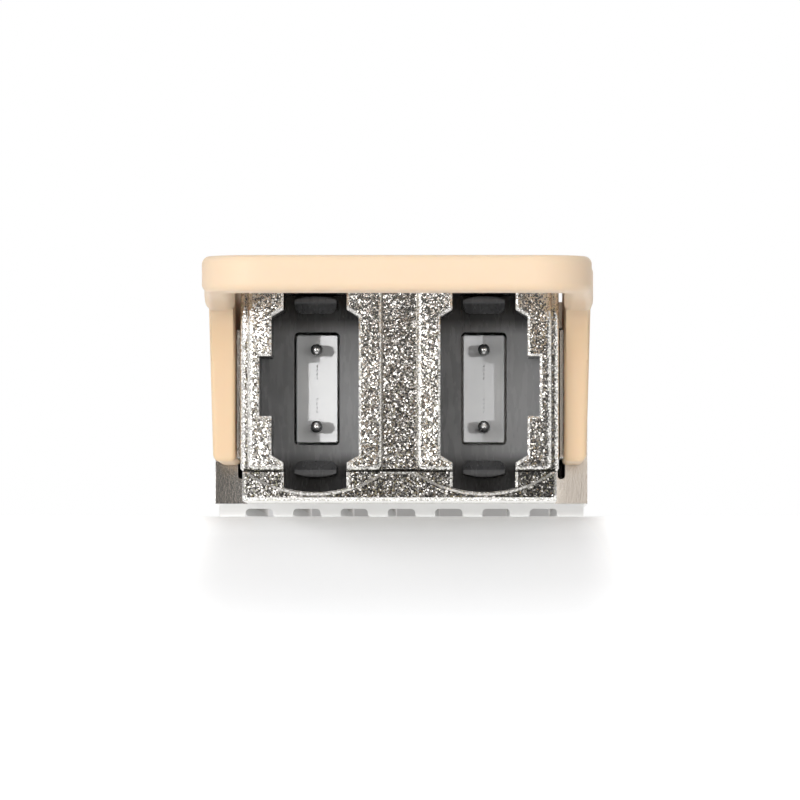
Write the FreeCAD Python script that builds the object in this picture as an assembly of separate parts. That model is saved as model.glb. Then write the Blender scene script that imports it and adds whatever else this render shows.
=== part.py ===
import FreeCAD, Part
import math
import os

# Pluggable optical module lying on its fins, with two multi-fibre ports and a pull tab.
# Millimetres. X to the right, Y from the front to the host end, Z up from the fin tips.
# Y is counted from the front of the port frames, and every piece is shifted on export so that
# the middle of the whole object is at Y 0.

V = FreeCAD.Vector

# Overall sizes
BODY_W = 22.58
BODY_H = 13.0
MODULE_L = 107.8
NOSE_L = 18.0
TAB_REACH = 27.0

# Shells
SHOULDER_W = 1.865
NOSE_WALL = 0.775
NOSE_ROOF = 0.7
LID_T = 1.2
FLOOR_Z = 3.6
SEAM_Z = 5.6
WEB_HALF = 1.5
FRONT_WALL_BACK = 1.4
FRAME_RAISE = 0.4
LOWER_LIP_Y = 0.1
NOSE_LOW_Z = 0.75
NOSE_FLOOR_T = 0.47
SEAM_CHAMFER = 0.16
PORT_EDGE_W = 0.14
PORT_EDGE_D = 0.09

# Fins
FIN_COUNT = 8
FIN_GAP = 1.66
FIN_EDGE = 1.6
FIN_H = 2.05
FIN_INSET = 0.24
FIN_MOUTH = 0.08
FIN_ROOT_R = 0.25
FIN_START_Z = 0.42
FIN_FRONT_LEAN = 0.25
FIN_RUN_IN = 6.0
FIN_END_GAP = 7.8

# Ports, measured from each port's centre
PORT_Z = 7.55
PORT_FROM_WEB = 3.5
PORT_HALF_W = 2.58
PORT_HALF_H = 4.1
PORT_NECK_HALF_W = 1.87
PORT_NECK_H = 4.53
KEY_REACH = 3.3
KEY_HALF_H = 1.77
HOOK_TOP = 5.37
HOOK_HALF_W = 1.25
HOOK_FRONT_Y = 2.0
HOOK_SLOT_UP = 5.55
HOOK_SLOT_DOWN = 6.4
HOOK_ARC_R = 3.6
PORT_DEPTH = 7.0
NOSE_SEAM_DROP = 5.05
ARC_R = 7.0
ARC_RISE = 0.65
ARC_STEP = 0.07

# Plastic receptacles and ferrules
HOUSING_CLEAR = 0.05
PLASTIC_SETBACK = 0.04
GASKET_T = 0.2
HOUSING_L = 15.7
FERRULE_HALF_W = 1.22
FERRULE_HALF_H = 3.2
FERRULE_CLEAR = 0.14
WINDOW_R = 0.28
FERRULE_L = 8.0
FERRULE_TILT = 8.0
FLANGE_HALF_W = 1.7
FLANGE_HALF_H = 3.9
FLANGE_L = 3.0
PIN_R = 0.35
PIN_PITCH = 4.6
PIN_OUT = 2.6
PIN_NECK_L = 1.0
PIN_DOME_EXTRA = 0.15
PIN_CLEAR = 0.005
KEEPER_L = 1.4
RETAINER_T = 0.8
RIBBON_W = 3.1
RIBBON_T = 0.3

# Circuit board and what stands on it
BOARD_T = 1.0
BOARD_Z = 6.6
BOARD_FRONT_Y = 39.0
BOARD_WIDE_Y = 68.0
BOARD_CLEAR = 0.4
BOARD_END_GAP = 2.2
CONTACT_COUNT = 30
CONTACT_PITCH = 0.6
CONTACT_T = 0.035
PROCESSOR_SIDE = 14.0
PROCESSOR_Y = 67.0
OPTICS_X = 3.2
LENS_Y = 46.0
LENS_W = 4.2
LENS_L = 6.0
ENGINE_W = 4.8
ENGINE_L = 4.6
PAD_T = 0.5

# Screws
BOSS_R = 1.7
SCREW_R = 0.99
SCREW_HEAD_R = 1.9
SCREW_CLEAR = 0.11

# Latch strips, springs and pull tab
LATCH_T = 0.3
LATCH_GAP = 0.1
SLOT_LOW_Z = 2.25
TAB_GAP = 0.325
STRIP_FRONT_Y = 6.2
STRIP_WIDE_END_Y = 36.0
WINDOW_FRONT_Y = 40.0
WINDOW_END_Y = 64.0
TRAVEL = 3.0
SPRING_R = 0.55
WIRE_R = 0.11
SPRING_TURNS = 12
SPRING_FRONT_Y = 24.0
SPRING_L = 11.5
LUG_T = 0.4
TAB_BAR = 5.0
TAB_T = 2.05
TAB_FLARE = 0.12
TAB_SIDE_DROP = 0.45
TAB_TOP_OVER_NOSE = 0.5
ARM_FRONT_Y = 2.0
ARM_BOTTOM_Z = 3.1
ARM_TAPER = 0.22
STUD_R = 0.6

# Sizes that follow from those above
BODY_HALF = BODY_W / 2
NOSE_HALF = BODY_HALF - SHOULDER_W
NOSE_IN_HALF = NOSE_HALF - NOSE_WALL
NOSE_TOP = PORT_Z + 6.45
NOSE_ROOF_Z = NOSE_TOP - NOSE_ROOF
NOSE_SEAM_Z = PORT_Z - NOSE_SEAM_DROP
NOSE_FLOOR_Z = NOSE_LOW_Z + NOSE_FLOOR_T
CEILING_Z = BODY_H - LID_T
PORT_X = WEB_HALF + PORT_FROM_WEB
FIN_PITCH = (BODY_W - 2 * FIN_INSET - 2 * FIN_EDGE - FIN_GAP) / (FIN_COUNT - 2)
FIN_END_Y = MODULE_L - FIN_END_GAP
HOUSING_FRONT_Y = FRONT_WALL_BACK + GASKET_T
HOUSING_BACK_Y = HOUSING_FRONT_Y + HOUSING_L
PORT_BACK_Y = HOUSING_FRONT_Y + PORT_DEPTH
FERRULE_FACE_Y = HOUSING_BACK_Y - FERRULE_L
KEEPER_BACK_Y = HOUSING_BACK_Y + KEEPER_L
WEB_END_Y = KEEPER_BACK_Y - 0.1
RETAINER_BACK_Y = KEEPER_BACK_Y + RETAINER_T
NOSE_BAY_END_Y = RETAINER_BACK_Y + 1.5
BOARD_TOP = BOARD_Z + BOARD_T
BOARD_END_Y = MODULE_L - BOARD_END_GAP
HEADROOM = CEILING_Z - BOARD_TOP
FRONT_BOSS_Y = BOARD_FRONT_Y + 2.0
ENGINE_Y = LENS_Y + LENS_L + ENGINE_L / 2 + 0.3
PROCESSOR_H = 1.9
ENGINE_H = 1.2
REAR_BOSS_Y = MODULE_L - 9.8
REAR_LEDGE_Y = BOARD_WIDE_Y + 1.5
REAR_LEDGE_END_Y = REAR_BOSS_Y - 3.5
STRIP_X = NOSE_HALF + LATCH_GAP
STRIP_OUT_X = STRIP_X + LATCH_T
SLOT_X = STRIP_X - 0.05
SLOT_OUT_X = STRIP_OUT_X + 0.1
THROAT_HALF = SLOT_X - 2.35
BAY_HALF = NOSE_IN_HALF
REAR_BAY_HALF = BODY_HALF - 1.69
STRIP_LOW_Z = ARM_BOTTOM_Z + 0.3
STRIP_HIGH_Z = BODY_H - 2.0
TONGUE_LOW_Z = SEAM_Z - 0.6
TONGUE_HIGH_Z = BODY_H - 3.0
SPRING_END_Y = SPRING_FRONT_Y + SPRING_L
SPRING_X = SLOT_X - 0.8
SPRING_Z = SEAM_Z + 1.5
LUG_TOP_Z = SPRING_Z + 1.2
TAB_TOP = NOSE_TOP + TAB_TOP_OVER_NOSE
TAB_LOW = TAB_TOP - TAB_T
TAB_IN_X = NOSE_HALF + TAB_GAP
ARM_BACK_Y = NOSE_L - 0.15
MIDDLE_Y = (MODULE_L - TAB_REACH) / 2


def block(x0, x1, y0, y1, z0, z1):
    return Part.makeBox(x1 - x0, y1 - y0, z1 - z0, V(x0, y0, z0))


def mirrored(shape):
    return shape.mirror(V(0, 0, 0), V(1, 0, 0))


def twin(shape):
    return [shape, mirrored(shape)]


def outline(points):
    return Part.Face(Part.makePolygon(points + points[:1]))


def prism_x(points, x0, x1):
    return outline([V(x0, y, z) for y, z in points]).extrude(V(x1 - x0, 0, 0))


def prism_y(points, y0, y1):
    return outline([V(x, y0, z) for x, z in points]).extrude(V(0, y1 - y0, 0))


def prism_z(points, z0, z1):
    return outline([V(x, y, z0) for x, y in points]).extrude(V(0, 0, z1 - z0))


def rod_y(x, z, r, y0, y1):
    return Part.makeCylinder(r, y1 - y0, V(x, y0, z), V(0, 1, 0))


def rod_z(x, y, r, z0, z1):
    return Part.makeCylinder(r, z1 - z0, V(x, y, z0), V(0, 0, 1))


def rod_x(y, z, r, x0, x1):
    return Part.makeCylinder(r, x1 - x0, V(x0, y, z), V(1, 0, 0))


def joined(shapes):
    return shapes[0].multiFuse(shapes[1:]).removeSplitter()


def carved(shape, cutters):
    return shape.cut(cutters).removeSplitter()


def edges_along(shape, axis):
    found = []
    for edge in shape.Edges:
        step = edge.Vertexes[-1].Point - edge.Vertexes[0].Point
        if step.Length > 1e-6 and abs(step.normalize().dot(axis)) > 0.999:
            found.append(edge)
    return found


def edges_on_plane(shape, axis, level):
    found = []
    for edge in shape.Edges:
        if all(abs(corner.Point.dot(axis) - level) < 1e-5 for corner in edge.Vertexes):
            found.append(edge)
    return found


def rounded(shape, radius, edges):
    return shape.makeFillet(radius, edges)


def save(name, shapes):
    whole = shapes[0] if len(shapes) == 1 else Part.makeCompound(shapes)
    moved = whole.copy()
    moved.translate(V(0, -MIDDLE_Y, 0))
    moved.exportStep("parts/" + name + ".step")


def save_pair(name, shape):
    save("right_" + name, [shape])
    save("left_" + name, [mirrored(shape)])


def screw_spots():
    spots = []
    for side in (-1, 1):
        spots.append((side * (THROAT_HALF - 0.3), FRONT_BOSS_Y, BAY_HALF))
        spots.append((side * (REAR_BAY_HALF - 2.0), REAR_BOSS_Y, REAR_BAY_HALF))
    return spots


def boss(x, y, wall_half, z0, z1):
    side = math.copysign(1, x)
    rib = block(0, wall_half + 0.3 - abs(x), y - 1.3, y + 1.3, z0, z1)
    rib.translate(V(abs(x), 0, 0))
    if side < 0:
        rib = mirrored(rib)
    return rod_z(x, y, BOSS_R, z0, z1).fuse(rib)


# Port outlines are drawn for the right port, whose key points away from the module's middle
def port_outline(grow, up, down):
    w = PORT_HALF_W + grow
    h = PORT_HALF_H + grow
    neck = PORT_NECK_HALF_W + grow
    neck_h = PORT_NECK_H + grow
    key = KEY_REACH + grow
    key_h = KEY_HALF_H + grow
    around = [
        (-w, -h),
        (-neck, -neck_h),
        (-neck, -down),
        (neck, -down),
        (neck, -neck_h),
        (w, -h),
        (w, -key_h),
        (key, -key_h),
        (key, key_h),
        (w, key_h),
        (w, h),
        (neck, neck_h),
        (neck, up),
        (-neck, up),
        (-neck, neck_h),
        (-w, h),
    ]
    return [(PORT_X + u, PORT_Z + v) for u, v in around]


# Cavities shared by both shells
def inside_space():
    spaces = []
    back = HOUSING_BACK_Y + 0.1
    port_bay = block(WEB_HALF, NOSE_IN_HALF, FRONT_WALL_BACK, back, NOSE_FLOOR_Z, NOSE_ROOF_Z)
    keeper_bay = block(WEB_HALF, NOSE_IN_HALF, back - 0.1, NOSE_BAY_END_Y, NOSE_FLOOR_Z, CEILING_Z)
    for piece in (port_bay, keeper_bay):
        spaces.extend(twin(piece))
    spaces.append(block(-NOSE_IN_HALF, NOSE_IN_HALF, WEB_END_Y, NOSE_BAY_END_Y, NOSE_FLOOR_Z, CEILING_Z))
    throat_y = NOSE_BAY_END_Y - 0.5
    spaces.append(block(-THROAT_HALF, THROAT_HALF, throat_y, BOARD_WIDE_Y, FLOOR_Z, CEILING_Z))
    spaces.append(block(-BAY_HALF, BAY_HALF, BOARD_FRONT_Y - 0.5, BOARD_WIDE_Y, FLOOR_Z, CEILING_Z))
    rear_y = BOARD_WIDE_Y - 2.0
    spaces.append(block(-REAR_BAY_HALF, REAR_BAY_HALF, rear_y, MODULE_L + 1, FLOOR_Z, CEILING_Z))
    return spaces


def latch_space():
    slot_end = prism_x(
        [
            (NOSE_L - 1, SLOT_LOW_Z),
            (WINDOW_FRONT_Y + 0.5, SLOT_LOW_Z),
            (WINDOW_FRONT_Y + 0.5, STRIP_HIGH_Z + 0.4),
            (NOSE_L - 1, STRIP_HIGH_Z + 0.4),
        ],
        SLOT_X,
        SLOT_OUT_X,
    )
    corners = [e for e in edges_along(slot_end, V(0, 1, 0)) if e.CenterOfMass.z < SLOT_LOW_Z + 1e-4]
    slot_end = rounded(slot_end, (SLOT_OUT_X - SLOT_X) * 0.45, corners)
    window = block(
        SLOT_X, BODY_HALF + 1, WINDOW_FRONT_Y, WINDOW_END_Y, TONGUE_LOW_Z - 0.4, TONGUE_HIGH_Z + 0.4
    )
    window = rounded(window, 0.8, edges_along(window, V(1, 0, 0)))
    shapes = []
    for piece in (slot_end, window):
        shapes.extend(twin(piece))
    return shapes


def spring_space():
    lug_y = SPRING_END_Y + LUG_T + 0.1
    step_y = SPRING_END_Y - TRAVEL - 0.1
    x0 = SPRING_X - 0.75
    narrow = block(x0, SLOT_X + 0.1, SPRING_FRONT_Y, lug_y, SEAM_Z - 1, SPRING_Z + 0.8)
    wide = block(x0, SLOT_X + 0.1, step_y, lug_y, SEAM_Z - 1, LUG_TOP_Z + 0.15)
    return twin(narrow.fuse(wide))


# Finned half of the shell
def fin_channels():
    cutters = []
    start = NOSE_L - 0.5
    slope = (FIN_H - FIN_START_Z) / FIN_RUN_IN
    for i in range(FIN_COUNT - 1):
        x = (i - (FIN_COUNT - 2) / 2) * FIN_PITCH
        run = [
            (start, -1),
            (start, FIN_START_Z - slope * 0.5),
            (NOSE_L + FIN_RUN_IN, FIN_H),
            (FIN_END_Y + 0.5, FIN_H),
            (FIN_END_Y + 0.5, -1),
        ]
        channel = prism_x(run, x - FIN_GAP / 2, x + FIN_GAP / 2)
        sides = [e for e in channel.Edges if abs(abs(e.CenterOfMass.x - x) - FIN_GAP / 2) < 1e-4]
        roots = [e for e in sides if min(v.Z for v in e.Vertexes) > 0]
        cutters.append(rounded(channel, FIN_ROOT_R, roots))
        wide = FIN_GAP / 2 + FIN_MOUTH
        mouth = [(x - wide - 0.1, -0.1), (x + wide + 0.1, -0.1)]
        mouth += [(x + FIN_GAP / 2, FIN_MOUTH), (x - FIN_GAP / 2, FIN_MOUTH)]
        cutters.append(prism_y(mouth, start, FIN_END_Y + 0.5))
    return cutters


def port_arc_cutters():
    arc_z = PORT_Z + ARC_RISE
    dish = rod_y(PORT_X, arc_z, ARC_R, LOWER_LIP_Y - 1, LOWER_LIP_Y + 0.35)
    rim = Part.makeCone(
        ARC_R + PORT_EDGE_W, ARC_R, PORT_EDGE_D, V(PORT_X, LOWER_LIP_Y, arc_z), V(0, 1, 0)
    )
    slot_r = ARC_R - ARC_STEP
    slot = rod_y(PORT_X, arc_z, slot_r, LOWER_LIP_Y - 1, FRONT_WALL_BACK + 0.1)
    neck = PORT_NECK_HALF_W - 0.02
    corner_z = arc_z - math.sqrt(slot_r * slot_r - neck * neck)
    slot = slot.common(block(PORT_X - neck, PORT_X + neck, -2, FRONT_WALL_BACK + 0.1, 0, PORT_Z))
    sides = port_edge_cutter()
    sides.translate(V(0, LOWER_LIP_Y + 0.35, 0))
    sides = sides.common(block(0, BODY_W, 0, 2, corner_z + 0.05, NOSE_SEAM_Z + 1))
    return [dish, rim, slot, sides]


# Ledges along the side walls that carry the board
def board_ledges(half, y0, y1):
    root = block(half - 0.9, half + 0.2, y0, y1, FLOOR_Z - 0.2, SEAM_Z - 0.1)
    crest = block(half - 0.9, half - 0.05, y0, y1, SEAM_Z - 0.2, BOARD_Z)
    return twin(root.fuse(crest))


def make_finned_shell():
    lip = LOWER_LIP_Y
    half = NOSE_HALF - 0.125
    top = NOSE_SEAM_Z
    profile = [
        (lip + 0.2, NOSE_LOW_Z),
        (lip, NOSE_LOW_Z + 0.2),
        (lip, top - SEAM_CHAMFER),
        (lip + SEAM_CHAMFER, top),
        (NOSE_L + 0.5, top),
        (NOSE_L + 0.5, NOSE_LOW_Z),
    ]
    nose = prism_x(profile, -half, half)
    front = [e for e in edges_along(nose, V(0, 0, 1)) if e.CenterOfMass.y < lip + 0.01]
    nose = rounded(nose, 0.2, front)
    body = block(-BODY_HALF, BODY_HALF, NOSE_L, MODULE_L, 0, SEAM_Z)
    tail = [e for e in edges_on_plane(body, V(0, 1, 0), MODULE_L) if e.CenterOfMass.z < SEAM_Z - 0.1]
    body = body.makeChamfer(0.5, tail)
    cutters = inside_space() + latch_space() + fin_channels()
    side_x = BODY_HALF - FIN_INSET
    cutters += twin(block(side_x, BODY_HALF + 1, NOSE_L - 1, MODULE_L + 1, -1, NOSE_LOW_Z))
    lean = [(NOSE_L - 1, -0.01), (NOSE_L + FIN_FRONT_LEAN, -0.01)]
    lean += [(NOSE_L, NOSE_LOW_Z), (NOSE_L - 1, NOSE_LOW_Z)]
    cutters.append(prism_x(lean, -BODY_HALF - 1, BODY_HALF + 1))
    cutters.append(block(-BODY_HALF - 1, BODY_HALF + 1, FIN_END_Y, MODULE_L + 1, -1, FIN_H))
    for cutter in port_arc_cutters():
        cutters.extend(twin(cutter))
    groove_x = REAR_BAY_HALF + 0.4
    groove_end = MODULE_L - 2.8
    groove = block(groove_x, groove_x + 0.5, BOARD_WIDE_Y - 2, groove_end, SEAM_Z - 0.4, SEAM_Z + 1)
    cutters += twin(groove)
    shell = joined([nose, body]).cut(cutters)
    added = []
    for x, y, wall in screw_spots():
        added.append(boss(x, y, wall, FLOOR_Z - 0.2, SEAM_Z - 0.1))
        added.append(rod_z(x, y, BOSS_R, FLOOR_Z - 0.2, BOARD_TOP + 0.6))
    half = PROCESSOR_SIDE / 2
    pedestal_z = BOARD_Z - PROCESSOR_H - PAD_T
    added.append(
        block(-half, half, PROCESSOR_Y - half, PROCESSOR_Y + half, FLOOR_Z - 0.2, pedestal_z)
    )
    reach = OPTICS_X + ENGINE_W / 2
    rest = ENGINE_L / 2 + 0.1
    rest_z = BOARD_Z - ENGINE_H - PAD_T
    added.append(block(-reach, reach, ENGINE_Y - rest, ENGINE_Y + rest, FLOOR_Z - 0.2, rest_z))
    added += board_ledges(REAR_BAY_HALF, REAR_LEDGE_Y, REAR_LEDGE_END_Y)
    added += board_ledges(BAY_HALF, BOARD_WIDE_Y - 10, BOARD_WIDE_Y - 3)
    shell = joined([shell] + added)
    holes = [rod_z(x, y, SCREW_R + 0.01, FLOOR_Z + 0.4, BOARD_TOP + 1) for x, y, wall in screw_spots()]
    return carved(shell, holes)


# Belly half of the shell, with the nose and the raised port frames
def port_frame():
    plate = block(
        WEB_HALF - 0.5,
        NOSE_HALF - 0.425,
        0,
        FRAME_RAISE + 0.4,
        NOSE_SEAM_Z + 0.05,
        NOSE_TOP - 0.7,
    )
    plate = rounded(plate, 0.4, edges_along(plate, V(0, 1, 0)))
    return rounded(plate, 0.3, edges_on_plane(plate, V(0, 1, 0), 0))


def port_edge_cutter():
    rings = []
    for y, grow in ((0, PORT_EDGE_W), (PORT_EDGE_D, 0)):
        points = [V(x, y, z) for x, z in port_outline(grow, 5.9 + grow, 7.0 + grow)]
        rings.append(Part.makePolygon(points + points[:1]))
    return Part.makeLoft(rings, True, True)


def make_belly_shell():
    nose = block(-NOSE_HALF, NOSE_HALF, FRAME_RAISE, NOSE_L, NOSE_SEAM_Z, NOSE_TOP)
    top = [e for e in edges_along(nose, V(0, 1, 0)) if e.CenterOfMass.z > PORT_Z]
    nose = rounded(nose, 0.8, top)
    rim = edges_on_plane(nose, V(0, 1, 0), FRAME_RAISE)
    nose = rounded(nose, 0.3, [e for e in rim if e.CenterOfMass.z > NOSE_SEAM_Z + 0.1])
    foot = edges_along(nose, V(1, 0, 0))
    foot = [e for e in foot if e.CenterOfMass.z < NOSE_SEAM_Z + 0.1 and e.CenterOfMass.y < 1]
    nose = nose.makeChamfer(SEAM_CHAMFER, foot)
    body = block(-BODY_HALF, BODY_HALF, NOSE_L, MODULE_L, SEAM_Z, BODY_H)
    body = rounded(body, 0.5, [e for e in edges_along(body, V(0, 1, 0)) if e.CenterOfMass.z > SEAM_Z + 1])
    tail = [e for e in edges_on_plane(body, V(0, 1, 0), MODULE_L) if e.CenterOfMass.z > SEAM_Z + 0.1]
    body = body.makeChamfer(0.4, tail)
    solid = joined([nose, body] + twin(port_frame()))
    cutters = inside_space() + latch_space() + spring_space()
    cutters += twin(prism_y(port_outline(0, 5.9, 7.0), -1, FRONT_WALL_BACK + 0.1))
    cutters += twin(port_edge_cutter())
    label_half = REAR_BAY_HALF - 1.5
    label_z = BODY_H - 0.15
    label = block(-label_half, label_half, FRONT_BOSS_Y + 7, REAR_BOSS_Y - 8, label_z, BODY_H + 1)
    cutters.append(rounded(label, 1.0, edges_along(label, V(0, 0, 1))))
    shell = solid.cut(cutters)
    added = []
    for x, y, wall in screw_spots():
        added.append(boss(x, y, wall, BOARD_TOP + 0.6, CEILING_Z + 0.2))
    added += twin(
        block(
            REAR_BAY_HALF - 0.9,
            REAR_BAY_HALF + 0.2,
            REAR_LEDGE_Y,
            REAR_LEDGE_END_Y,
            BOARD_TOP,
            CEILING_Z + 0.2,
        )
    )
    shell = joined([shell] + added)
    holes = []
    for x, y, wall in screw_spots():
        holes.append(rod_z(x, y, SCREW_R + SCREW_CLEAR, BOARD_TOP, BODY_H + 1))
        holes.append(screw_head(x, y, SCREW_CLEAR, 0.5))
    return carved(shell, holes)


# Screws that close the shells, with flush cone heads and a cross recess
def screw_head(x, y, grow, above):
    depth = SCREW_HEAD_R - SCREW_R
    cone = Part.makeCone(SCREW_R + grow, SCREW_HEAD_R + grow, depth, V(x, y, BODY_H - 0.1 - depth))
    return cone.fuse(rod_z(x, y, SCREW_HEAD_R + grow, BODY_H - 0.1, BODY_H - 0.1 + above))


def make_screws():
    screws = []
    for x, y, wall in screw_spots():
        depth = SCREW_HEAD_R - SCREW_R
        cone = Part.makeCone(SCREW_R, SCREW_HEAD_R, depth, V(x, y, BODY_H - 0.1 - depth))
        shank = rod_z(x, y, SCREW_R, FLOOR_Z + 0.6, BODY_H - depth)
        cross = [block(x - 0.2, x + 0.2, y - 0.9, y + 0.9, BODY_H - 0.7, BODY_H)]
        cross.append(block(x - 0.9, x + 0.9, y - 0.2, y + 0.2, BODY_H - 0.7, BODY_H))
        screws.append(carved(cone.fuse(shank), cross))
    return screws


# Receptacle in each port, with a keyed hollow and two latch hooks
def hook(sign):
    back = PORT_BACK_Y + 0.3
    side = [
        (HOOK_FRONT_Y, HOOK_TOP - 0.42),
        (HOOK_FRONT_Y, HOOK_TOP),
        (back, HOOK_TOP),
        (back, HOOK_TOP - 0.67),
        (HOOK_FRONT_Y + 2.4, HOOK_TOP - 0.67),
        (HOOK_FRONT_Y + 1.9, HOOK_TOP - 0.99),
        (HOOK_FRONT_Y + 1.2, HOOK_TOP - 0.99),
    ]
    points = [(y, PORT_Z + sign * v) for y, v in side]
    arm = prism_x(points, PORT_X - HOOK_HALF_W, PORT_X + HOOK_HALF_W)
    nose = [e for e in edges_along(arm, V(1, 0, 0)) if abs(e.CenterOfMass.y - HOOK_FRONT_Y) < 1e-4]
    arm = rounded(arm, 0.15, nose)
    ends = sorted((PORT_Z + sign * (HOOK_TOP - 0.99), PORT_Z + sign * HOOK_TOP))
    mould = block(PORT_X - HOOK_HALF_W, PORT_X + HOOK_HALF_W, 0, back, ends[0], ends[1])
    inner = [e for e in edges_along(mould, V(0, 1, 0)) if abs(e.CenterOfMass.z - PORT_Z) < HOOK_TOP - 0.5]
    arch = rod_y(PORT_X, PORT_Z + sign * (HOOK_TOP - HOOK_ARC_R), HOOK_ARC_R, 0, back)
    return arm.common(rounded(mould, 0.45, inner)).common(arch)


def make_port_housing():
    body = block(
        WEB_HALF + HOUSING_CLEAR,
        NOSE_IN_HALF - HOUSING_CLEAR,
        HOUSING_FRONT_Y,
        HOUSING_BACK_Y,
        NOSE_FLOOR_Z + HOUSING_CLEAR,
        NOSE_ROOF_Z - 2 * HOUSING_CLEAR,
    )
    body = rounded(body, 0.3, edges_along(body, V(0, 1, 0)))
    half_w = FERRULE_HALF_W + FERRULE_CLEAR
    half_h = FERRULE_HALF_H + FERRULE_CLEAR + 0.04
    hollow = prism_y(
        port_outline(PLASTIC_SETBACK, HOOK_SLOT_UP, HOOK_SLOT_DOWN), HOUSING_FRONT_Y - 0.1, PORT_BACK_Y
    )
    window = block(
        PORT_X - half_w, PORT_X + half_w, PORT_BACK_Y - 0.1, HOUSING_BACK_Y, PORT_Z - half_h, PORT_Z + half_h
    )
    window = rounded(window, WINDOW_R, edges_along(window, V(0, 1, 0)))
    pocket_y = HOUSING_BACK_Y - FLANGE_L
    pocket = block(
        PORT_X - FLANGE_HALF_W - 0.05,
        PORT_X + FLANGE_HALF_W + 0.05,
        pocket_y,
        HOUSING_BACK_Y + 0.1,
        PORT_Z - FLANGE_HALF_H - 0.05,
        PORT_Z + FLANGE_HALF_H + 0.05,
    )
    shell = body.cut([hollow, window, pocket])
    return joined([shell, hook(1), hook(-1)])


def make_port_gasket():
    sheet = block(
        WEB_HALF + HOUSING_CLEAR,
        NOSE_IN_HALF - HOUSING_CLEAR,
        FRONT_WALL_BACK,
        HOUSING_FRONT_Y,
        NOSE_SEAM_Z + 0.2,
        NOSE_ROOF_Z - 2 * HOUSING_CLEAR,
    )
    hole = prism_y(port_outline(0.15, HOOK_SLOT_UP - 0.05, 7.0), FRONT_WALL_BACK - 1, HOUSING_FRONT_Y + 1)
    return carved(sheet, [hole])


# Ferrule with a slanted face, its pins, the keeper behind it and the ribbon
def pin_spots():
    return [(PORT_X, PORT_Z + sign * PIN_PITCH / 2) for sign in (-1, 1)]


def make_ferrule():
    lean = math.tan(math.radians(FERRULE_TILT))
    near = FERRULE_FACE_Y - FERRULE_HALF_W * lean
    far = FERRULE_FACE_Y + FERRULE_HALF_W * lean
    plan = [
        (PORT_X - FERRULE_HALF_W, near),
        (PORT_X + FERRULE_HALF_W, far),
        (PORT_X + FERRULE_HALF_W, HOUSING_BACK_Y),
        (PORT_X - FERRULE_HALF_W, HOUSING_BACK_Y),
    ]
    stem = prism_z(plan, PORT_Z - FERRULE_HALF_H, PORT_Z + FERRULE_HALF_H)
    sides = [e for e in edges_along(stem, V(0, 1, 0))]
    stem = rounded(stem, 0.12, sides)
    flange = block(
        PORT_X - FLANGE_HALF_W,
        PORT_X + FLANGE_HALF_W,
        HOUSING_BACK_Y - FLANGE_L,
        HOUSING_BACK_Y,
        PORT_Z - FLANGE_HALF_H,
        PORT_Z + FLANGE_HALF_H,
    )
    flange = rounded(flange, 0.25, edges_along(flange, V(0, 1, 0)))
    hole_r = PIN_R + PIN_CLEAR
    cutters = [rod_y(x, z, hole_r, FERRULE_FACE_Y - 2, HOUSING_BACK_Y + 1) for x, z in pin_spots()]
    cutters.append(ribbon_slot(HOUSING_BACK_Y - 4, HOUSING_BACK_Y + 1, 0.05))
    return carved(joined([stem, flange]), cutters)


def make_guide_pins():
    pins = []
    tip_y = FERRULE_FACE_Y - PIN_OUT
    neck_y = FERRULE_FACE_Y + 0.05
    neck_r = PIN_R - 0.16
    dome_r = PIN_R + PIN_DOME_EXTRA
    dome_h = dome_r - math.sqrt(dome_r * dome_r - PIN_R * PIN_R)
    for x, z in pin_spots():
        front = rod_y(x, z, PIN_R, tip_y + dome_h, neck_y)
        tip = Part.makeSphere(dome_r, V(x, tip_y + dome_r, z))
        tip = tip.common(rod_y(x, z, PIN_R, tip_y - 1, tip_y + dome_h))
        neck = rod_y(x, z, neck_r, neck_y, neck_y + PIN_NECK_L)
        shank = rod_y(x, z, PIN_R, neck_y + PIN_NECK_L, KEEPER_BACK_Y)
        pins.append(joined([tip, front, neck, shank]))
    return pins


def make_pin_keeper():
    keeper = block(
        PORT_X - FLANGE_HALF_W,
        PORT_X + FLANGE_HALF_W,
        HOUSING_BACK_Y,
        KEEPER_BACK_Y,
        PORT_Z - FLANGE_HALF_H + 0.1,
        PORT_Z + FLANGE_HALF_H - 0.1,
    )
    keeper = rounded(keeper, 0.3, edges_along(keeper, V(0, 1, 0)))
    hole_r = PIN_R + PIN_CLEAR
    cutters = [rod_y(x, z, hole_r, HOUSING_BACK_Y - 1, KEEPER_BACK_Y + 1) for x, z in pin_spots()]
    cutters.append(ribbon_slot(HOUSING_BACK_Y - 1, KEEPER_BACK_Y + 1, 0.1))
    return carved(keeper, cutters)


def ribbon_slot(y0, y1, gap):
    half_t = RIBBON_T / 2 + gap
    half_w = RIBBON_W / 2 + gap
    return block(PORT_X - half_t, PORT_X + half_t, y0, y1, PORT_Z - half_w, PORT_Z + half_w)


def make_retainer():
    plate = block(
        -NOSE_IN_HALF + 0.1,
        NOSE_IN_HALF - 0.1,
        KEEPER_BACK_Y,
        RETAINER_BACK_Y,
        NOSE_FLOOR_Z + 0.05,
        CEILING_Z - 0.05,
    )
    plate = rounded(plate, 0.5, edges_along(plate, V(0, 1, 0)))
    return carved(plate, twin(ribbon_slot(KEEPER_BACK_Y - 1, RETAINER_BACK_Y + 1, 0.4)))


def ribbon_section(y, x, z, turn):
    half_w = RIBBON_W / 2
    half_t = RIBBON_T / 2
    corners = []
    for a, b in ((-half_w, -half_t), (half_w, -half_t), (half_w, half_t), (-half_w, half_t)):
        across = a * math.cos(turn) - b * math.sin(turn)
        up = a * math.sin(turn) + b * math.cos(turn)
        corners.append(V(x + across, y, z + up))
    return Part.makePolygon(corners + corners[:1])


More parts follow.
